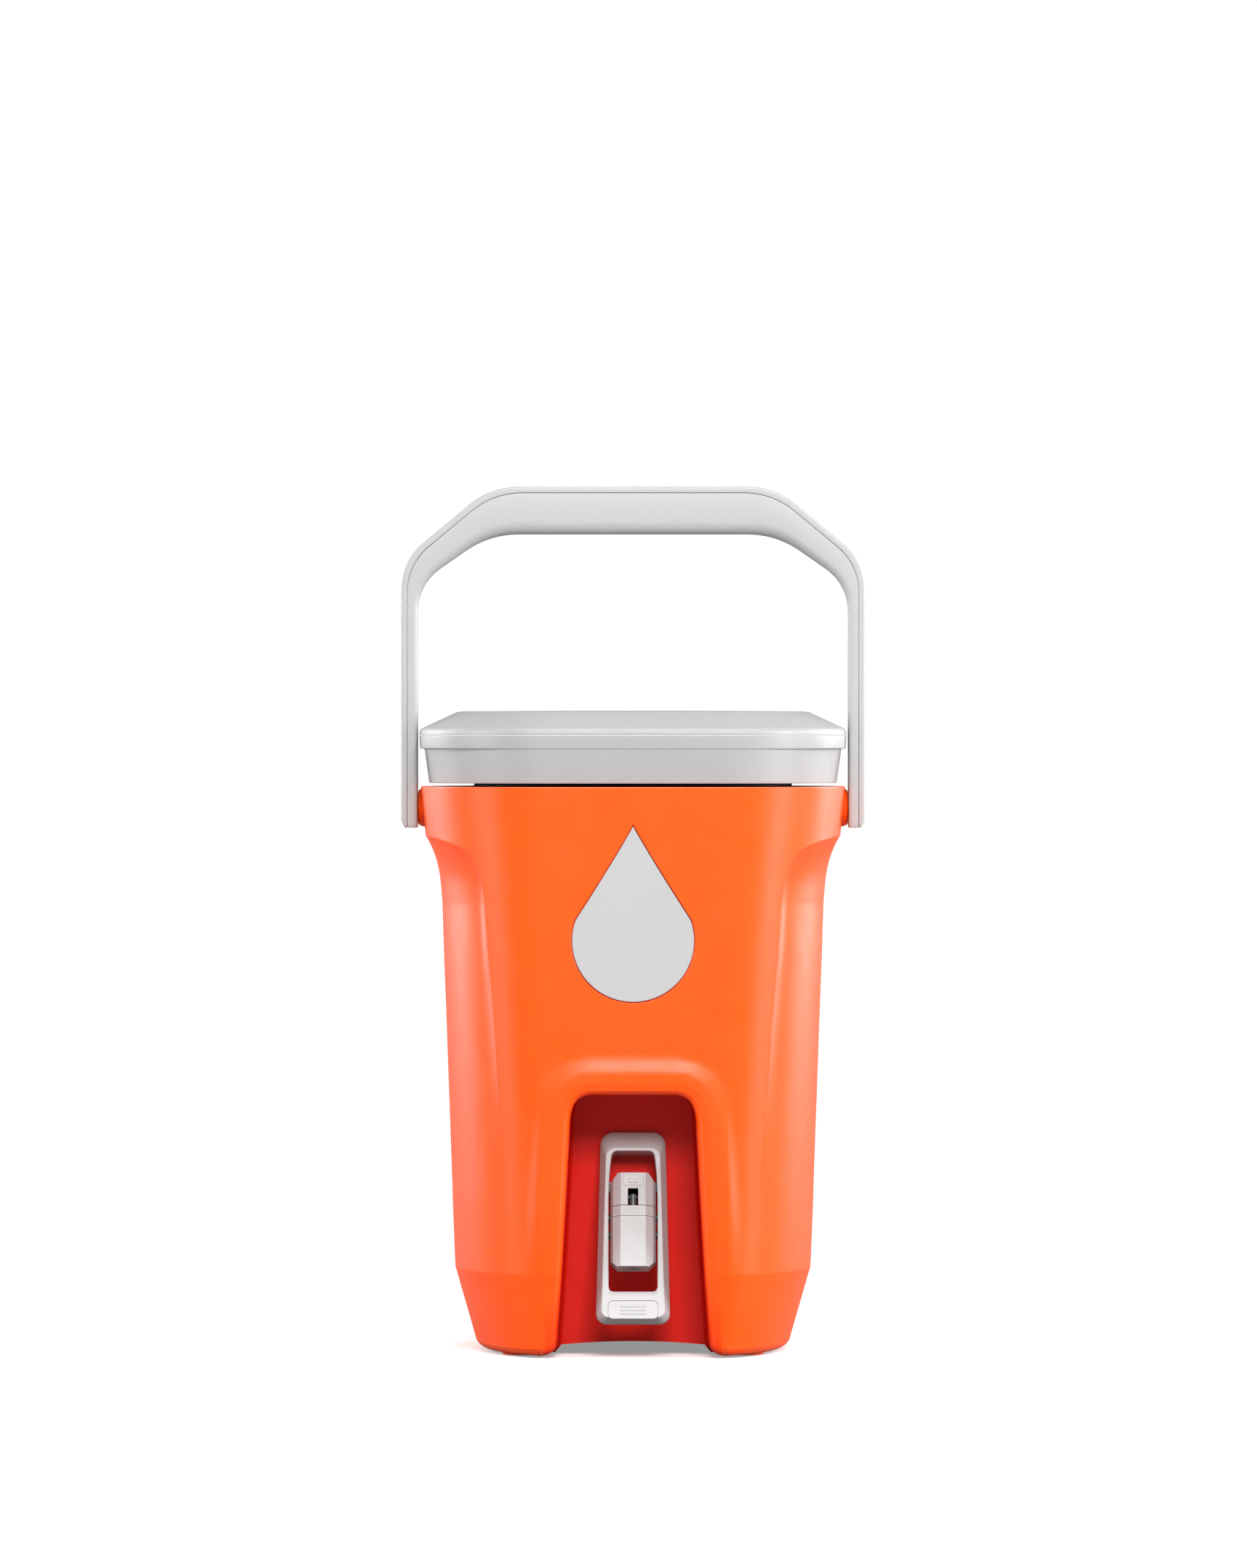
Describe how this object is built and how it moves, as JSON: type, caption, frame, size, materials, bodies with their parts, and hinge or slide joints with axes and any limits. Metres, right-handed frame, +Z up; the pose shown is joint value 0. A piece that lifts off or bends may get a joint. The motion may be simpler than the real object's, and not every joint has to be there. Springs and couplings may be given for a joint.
{
  "type": "beverage dispenser",
  "caption": "Insulated square jug for cold drinks with a lift-off lid, a swinging bail handle and a push-lever spigot recessed in the front.",
  "frame": {"origin": "on the floor under the centre of the overall box", "axes": "+X to the right seen from the front and along the handle's pivot, -Y the front with the spigot, +Z up"},
  "size_m": [0.3004, 0.245, 0.559],
  "materials": {
    "shell_orange": "satin, finely textured moulding",
    "lid_grey": "satin moulding",
    "pale_grey": "satin moulding",
    "liner_white": "smooth",
    "foam": "rigid foam",
    "black_rubber": "matt",
    "black_plastic": "satin",
    "stem_grey": "satin",
    "steel": "bright"
  },
  "bodies": {
    "jug": {"outer_shell": "shell_orange", "insulation_foam": "foam", "inner_liner": "liner_white", "front_emblem": "pale_grey", "foot_pad_front_left": "shell_orange", "foot_pad_front_right": "shell_orange", "foot_pad_rear_left": "shell_orange", "foot_pad_rear_right": "shell_orange", "pivot_boss_left": "shell_orange", "pivot_boss_right": "shell_orange", "pivot_pin_left": "steel", "pivot_pin_right": "steel", "spigot_shank": "pale_grey", "outer_gasket": "black_rubber", "wall_sleeve": "liner_white", "inner_gasket": "black_rubber", "shank_nut": "pale_grey", "spout_body": "pale_grey", "spout_outlet_ring": "pale_grey", "spout_collar": "pale_grey", "spout_cap": "pale_grey", "stem_oring": "black_rubber", "valve_spring": "steel", "lever_pivot_pin_left": "black_plastic", "lever_pivot_pin_right": "black_plastic", "lever_stop_pin_left": "black_plastic", "lever_stop_pin_right": "black_plastic"},
    "lid": {"lid_base": "lid_grey", "lid_foam": "foam", "lid_cap": "lid_grey", "lid_plug": "lid_grey", "lid_gasket": "black_rubber"},
    "handle": {"handle_outer_shell": "pale_grey", "handle_inner_shell": "pale_grey", "handle_bush_left": "black_plastic", "handle_bush_right": "black_plastic"},
    "lever": {"push_frame": "pale_grey", "push_pad": "pale_grey", "lever_yoke": "black_plastic"},
    "valve": {"valve_stem": "stem_grey", "valve_seal": "black_rubber", "stem_cross_pin": "black_plastic"}
  },
  "joints": [
    {"name": "handle_swing", "type": "hinge", "parent": "jug", "child": "handle", "pos_m": [0, 0, 0.3513], "axis": [1, 0, 0], "range_deg": [-130, 130]},
    {"name": "lid_lift", "type": "slide", "parent": "jug", "child": "lid", "axis": [0, 0, 1], "range_m": [0, 0.075]},
    {"name": "lever_push", "type": "hinge", "parent": "jug", "child": "lever", "pos_m": [0, -0.08, 0.0883], "axis": [1, 0, 0], "range_deg": [0, 10], "stiffness_Nm_per_rad": 1.2, "springref_deg": -11.46},
    {"name": "stem_lift", "type": "slide", "parent": "jug", "child": "valve", "axis": [0, 0.2924, 0.9563], "range_m": [0, 0.0035], "deforming": ["valve_spring"]}
  ],
  "couplings": [
    {"joint": "stem_lift", "follows": "lever_push", "m_per_rad": 0.01948}
  ]
}
